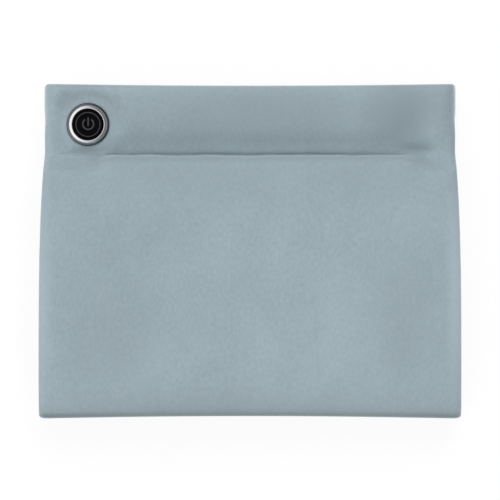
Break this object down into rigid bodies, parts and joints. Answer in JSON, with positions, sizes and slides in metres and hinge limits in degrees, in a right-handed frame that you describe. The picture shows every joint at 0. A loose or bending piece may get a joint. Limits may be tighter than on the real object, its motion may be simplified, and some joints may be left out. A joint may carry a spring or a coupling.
{
  "type": "rechargeable hand warmer",
  "caption": "Plush muff with a heated tunnel for the hands, a stuffed band above it that holds the battery pack and controller, and a round power button.",
  "frame": {"origin": "centre of the bounding box's base, on the surface that the muff's rear face lies on", "axes": "+X along the hand tunnel from the button's side to the other cuff, +Y across the tunnel towards the band, +Z out of the front face"},
  "size_m": [0.27, 0.213, 0.048],
  "materials": {
    "plush": "short velvety pile, blue-grey",
    "wadding": "soft polyester wadding",
    "lining_cloth": "short brushed cloth, slightly darker than the plush",
    "heater_sheet": "printed carbon film, satin",
    "copper": "bare copper strip",
    "chrome": "polished chrome",
    "gloss_black": "polished black",
    "black_plastic": "fine texture",
    "white_plastic": "natural nylon",
    "circuit_board": "solder mask, satin",
    "steel": "plated steel",
    "cell_wrap": "shrink wrap",
    "cable_sleeve": "soft black sleeve",
    "zip_tape": "woven tape with moulded teeth, blue-grey",
    "zip_metal": "painted to match the plush"
  },
  "bodies": {
    "muff": {"front_cover": "plush", "rear_cover": "plush", "front_padding": "wadding", "rear_padding": "wadding", "band_front_padding": "wadding", "band_rear_padding": "wadding", "lining": "lining_cloth", "front_heating_film": "heater_sheet", "front_upper_bus_bar": "copper", "front_lower_bus_bar": "copper", "front_film_tail": "copper", "rear_heating_film": "heater_sheet", "rear_upper_bus_bar": "copper", "rear_lower_bus_bar": "copper", "rear_film_tail": "copper", "temperature_sensor": "white_plastic", "heater_crimp": "white_plastic", "button_bezel": "chrome", "switch_body": "black_plastic", "clamp_ring": "black_plastic", "controller_housing": "black_plastic", "controller_rear_cover": "black_plastic", "controller_board": "circuit_board", "status_led": "white_plastic", "controller_connector": "white_plastic", "controller_screw_1": "steel", "controller_screw_2": "steel", "controller_screw_3": "steel", "heater_cable": "cable_sleeve", "battery_cable": "cable_sleeve", "battery_case_front": "black_plastic", "battery_case_rear": "black_plastic", "battery_cell_1": "cell_wrap", "battery_cell_2": "cell_wrap", "charge_board": "circuit_board", "usb_c_socket": "steel", "zip_tape_upper": "zip_tape", "zip_tape_lower": "zip_tape", "zip_stop_left": "steel", "zip_stop_right": "steel"},
    "power_button": {"button_cap": "gloss_black", "switch_plunger": "black_plastic"},
    "zip_slider": {"zip_slider": "zip_metal"},
    "zip_pull": {"zip_pull": "zip_metal"}
  },
  "joints": [
    {"name": "button_press", "type": "slide", "parent": "muff", "child": "power_button", "axis": [0, 0, -1], "range_m": [0, 0.0006], "stiffness_N_per_m": 2500},
    {"name": "zip_travel", "type": "slide", "parent": "muff", "child": "zip_slider", "axis": [1, 0, 0], "range_m": [0, 0.1778]},
    {"name": "zip_pull_swing", "type": "hinge", "parent": "zip_slider", "child": "zip_pull", "pos_m": [-0.0889, 0.09915, 0.00304], "axis": [0, 0.8619, 0.507], "range_deg": [0, 150]}
  ]
}
